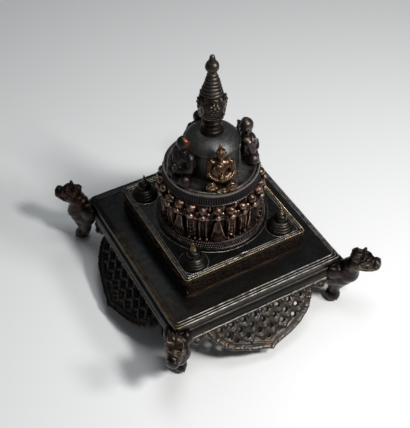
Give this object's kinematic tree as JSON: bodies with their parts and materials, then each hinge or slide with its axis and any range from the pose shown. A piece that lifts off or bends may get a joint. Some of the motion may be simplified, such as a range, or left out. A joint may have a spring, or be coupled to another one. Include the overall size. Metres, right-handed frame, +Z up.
{
  "type": "cast bronze votive stupa",
  "caption": "Table-top cast bronze stupa: square plinth on beast feet with pierced sloping aprons, figured round drum, dome with seated figures, ringed spire.",
  "frame": {"origin": "centre of the square plan, on the floor plane under the beasts' paws", "axes": "+Z up along the spire; -Y is the front side, +X the right side"},
  "size_m": [0.1412, 0.1476, 0.1636],
  "materials": {
    "dark_bronze": "dark satin patina",
    "relief_bronze": "reddish brown patina in relief",
    "worn_bronze": "patina worn to coppery metal on raised edges"
  },
  "bodies": {
    "root": {"apron_back": "worn_bronze", "apron_front": "worn_bronze", "apron_left": "worn_bronze", "apron_right": "worn_bronze", "corner_beast_back_left": "relief_bronze", "corner_beast_back_right": "relief_bronze", "corner_beast_front_left": "relief_bronze", "corner_beast_front_right": "relief_bronze", "corner_stupa_back_left": "dark_bronze", "corner_stupa_back_right": "dark_bronze", "corner_stupa_front_left": "dark_bronze", "corner_stupa_front_right": "dark_bronze", "dome": "dark_bronze", "dome_collar": "dark_bronze", "drum_base_ring": "worn_bronze", "drum_core": "dark_bronze", "figure_frieze_back": "relief_bronze", "figure_frieze_front": "relief_bronze", "figure_frieze_left": "relief_bronze", "figure_frieze_right": "relief_bronze", "finial_tip": "worn_bronze", "finial_vase": "worn_bronze", "fluted_band": "dark_bronze", "harmika": "dark_bronze", "harmika_plaque_back": "worn_bronze", "harmika_plaque_front": "worn_bronze", "harmika_plaque_left": "worn_bronze", "harmika_plaque_right": "worn_bronze", "platform_cornice": "worn_bronze", "plinth_deck": "dark_bronze", "plinth_side_back": "relief_bronze", "plinth_side_front": "relief_bronze", "plinth_side_left": "relief_bronze", "plinth_side_right": "relief_bronze", "seated_figure_back": "worn_bronze", "seated_figure_front": "worn_bronze", "seated_figure_left": "worn_bronze", "seated_figure_right": "worn_bronze", "spire_rings": "dark_bronze", "terrace": "dark_bronze", "upper_platform": "relief_bronze"}
  },
  "joints": []
}
